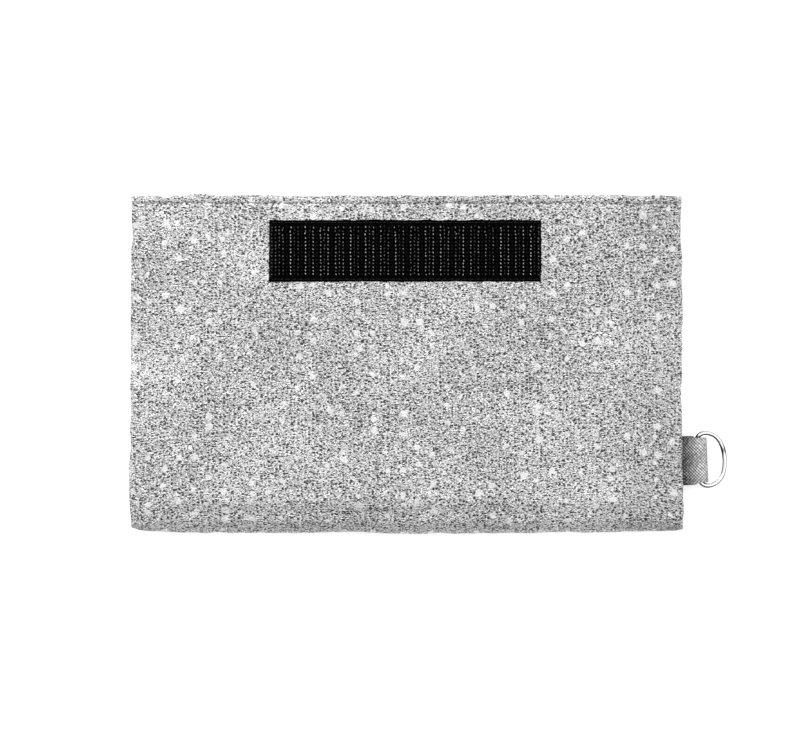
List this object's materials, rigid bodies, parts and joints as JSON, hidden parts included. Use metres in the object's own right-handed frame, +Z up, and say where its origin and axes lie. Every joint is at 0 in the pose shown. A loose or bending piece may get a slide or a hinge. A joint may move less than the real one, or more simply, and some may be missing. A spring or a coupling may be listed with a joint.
{
  "type": "lipo safe bag",
  "caption": "Flat fire-resistant pouch for lithium-polymer packs, with a hook-and-loop flap folded behind it and a D-ring on a side tab.",
  "frame": {"origin": "under the middle of the bag and its ring together, on the plane that the bag lies on", "axes": "+X along the mouth towards the side with the ring, +Y from the bottom fold to the mouth, +Z up, out of the front of the bag"},
  "size_m": [0.2426, 0.137, 0.014],
  "materials": {
    "silver_cloth": "aluminium film on woven glass fibre, finely crinkled",
    "liner_cloth": "plain woven glass fibre",
    "thread": "twisted thread",
    "hook_tape": "woven nylon",
    "hooks": "nylon monofilament hooks",
    "loop_tape": "woven nylon",
    "loop_pile": "brushed loop pile",
    "tape_thread": "twisted thread",
    "webbing": "twill-woven webbing",
    "ring_metal": "bright nickel-plated steel wire"
  },
  "bodies": {
    "bag": {"front_cloth": "silver_cloth", "bottom_fold_cloth": "silver_cloth", "back_cloth": "silver_cloth", "back_recess_cloth": "silver_cloth", "front_liner": "liner_cloth", "bottom_fold_liner": "liner_cloth", "back_liner": "liner_cloth", "mouth_hem": "silver_cloth", "mouth_hem_stitch": "thread", "seam_left": "liner_cloth", "seam_right": "liner_cloth", "seam_stitch_left": "thread", "seam_stitch_right": "thread", "hook_tape": "hook_tape", "hook_field": "hooks", "hook_tape_stitch": "tape_thread", "tab_anchor": "webbing"},
    "mouth_turn": {"turn_cloth": "silver_cloth", "turn_liner": "liner_cloth"},
    "mouth_wrap": {"wrap_cloth": "silver_cloth", "wrap_liner": "liner_cloth", "wrap_hem": "silver_cloth"},
    "flap": {"flap_cloth": "silver_cloth", "flap_liner": "liner_cloth", "flap_hem": "silver_cloth", "flap_hem_stitch": "thread", "loop_tape": "loop_tape", "loop_pile": "loop_pile", "loop_tape_stitch": "tape_thread"},
    "ring_tab": {"tab_loop": "webbing"},
    "ring": {"d_ring": "ring_metal"}
  },
  "joints": [
    {"name": "mouth_fold", "type": "hinge", "parent": "bag", "child": "mouth_turn", "pos_m": [0, 0.067, 0.00355], "axis": [1, 0, 0], "range_deg": [0, 122.5]},
    {"name": "wrap_fold", "type": "hinge", "parent": "mouth_turn", "child": "mouth_wrap", "pos_m": [0, 0.067, 0.00195], "axis": [1, 0, 0], "range_deg": [0, 122.5]},
    {"name": "flap_fold", "type": "hinge", "parent": "mouth_wrap", "child": "flap", "pos_m": [0, 0.05496, 0.0013], "axis": [1, 0, 0], "range_deg": [0, 115]},
    {"name": "tab_fold", "type": "hinge", "parent": "bag", "child": "ring_tab", "pos_m": [0.10392, -0.0393, 0.0053], "axis": [0.0422, -0.999, -0.0112], "range_deg": [-60, 89]},
    {"name": "ring_swing", "type": "hinge", "parent": "ring_tab", "child": "ring", "pos_m": [0.10928, -0.03906, 0.00388], "axis": [0.0842, -0.9962, -0.0223], "range_deg": [-100, 100]}
  ],
  "couplings": [
    {"joint": "wrap_fold", "follows": "mouth_fold", "ratio": 1},
    {"joint": "flap_fold", "follows": "mouth_fold", "ratio": 0.93878}
  ]
}
